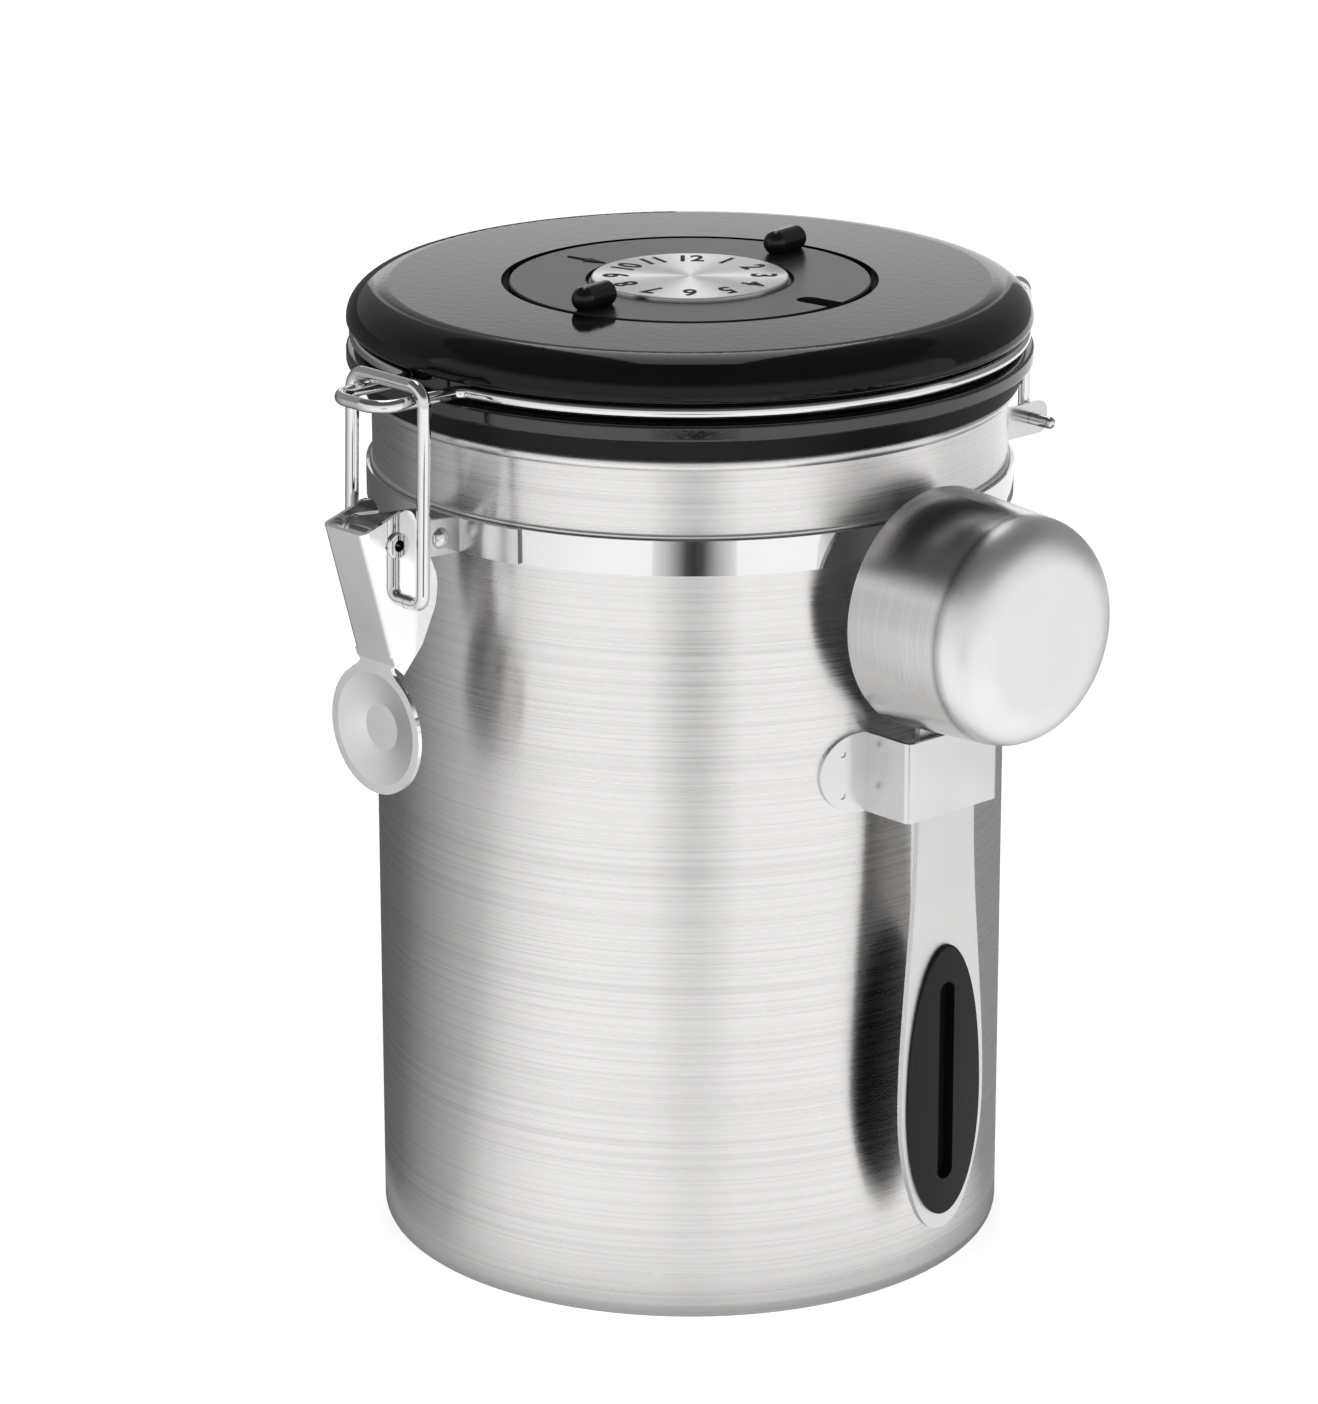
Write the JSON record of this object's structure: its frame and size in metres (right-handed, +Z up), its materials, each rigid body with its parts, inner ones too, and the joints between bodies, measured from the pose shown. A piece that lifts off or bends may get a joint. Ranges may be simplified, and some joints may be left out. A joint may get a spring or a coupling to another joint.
{
  "type": "coffee canister with valve",
  "caption": "Steel coffee canister with a hinged black lid, wire bail latch, date disc over a degassing valve, and a scoop in a side holder.",
  "frame": {"origin": "centre of the can's base, on the plane it stands on", "axes": "+Z up along the can's axis; the latch faces -Y, the lid's hinge +Y and the scoop +X"},
  "size_m": [0.158, 0.1639, 0.1903],
  "materials": {
    "brushed_body": "fine horizontal brushing",
    "polished_steel": "mirror polished pressings and wire",
    "satin_steel": "satin",
    "dial_steel": "spun",
    "gloss_black": "gloss",
    "disc_black": "semi gloss",
    "knob_black": "gloss",
    "gasket_black": "smooth silicone",
    "grip_black": "fine grain",
    "valve_plastic": "smooth",
    "flap_silicone": "smooth silicone",
    "filter_felt": "felt"
  },
  "bodies": {
    "can": {"can_body": "brushed_body", "neck_band": "polished_steel", "latch_bracket": "polished_steel", "bracket_tie_rivet": "polished_steel", "lever_pivot_rivet": "polished_steel", "hinge_bracket": "polished_steel", "scoop_holder": "polished_steel"},
    "lid": {"lid_base": "gloss_black", "lid_gasket": "gasket_black", "lid_cover": "gloss_black", "wire_hoop": "polished_steel", "dial_hub": "disc_black", "month_dial": "dial_steel", "valve_housing": "valve_plastic", "valve_guard": "valve_plastic", "valve_filter": "filter_felt", "valve_cap": "valve_plastic"},
    "date_disc": {"date_disc": "disc_black", "finger_knob_back": "knob_black", "finger_knob_front": "knob_black"},
    "valve_flap": {"valve_flap": "flap_silicone"},
    "lever": {"latch_lever": "polished_steel"},
    "bail": {"latch_bail": "polished_steel"},
    "scoop": {"scoop_cup": "satin_steel", "scoop_handle": "satin_steel", "scoop_grip": "grip_black"}
  },
  "joints": [
    {"name": "lid_hinge", "type": "hinge", "parent": "can", "child": "lid", "pos_m": [0, 0.0745, 0.14905], "axis": [-1, 0, 0], "range_deg": [0, 110]},
    {"name": "date_disc_turn", "type": "hinge", "parent": "lid", "child": "date_disc", "pos_m": [0, 0, 0.185], "axis": [0, 0, 1], "continuous": true},
    {"name": "valve_lift", "type": "slide", "parent": "lid", "child": "valve_flap", "axis": [0, 0, 1], "range_m": [0, 0.0006]},
    {"name": "lever_pivot", "type": "hinge", "parent": "can", "child": "lever", "pos_m": [0, -0.0773, 0.1504], "axis": [-1, 0, 0], "range_deg": [0, 130]},
    {"name": "bail_pivot", "type": "hinge", "parent": "lever", "child": "bail", "pos_m": [0, -0.075, 0.1393], "axis": [-1, 0, 0], "range_deg": [-143, 0]},
    {"name": "scoop_lift", "type": "slide", "parent": "can", "child": "scoop", "axis": [0, 0, 1], "range_m": [0, 0.105]}
  ],
  "couplings": [
    {"joint": "bail_pivot", "follows": "lever_pivot", "ratio": -1.1}
  ]
}
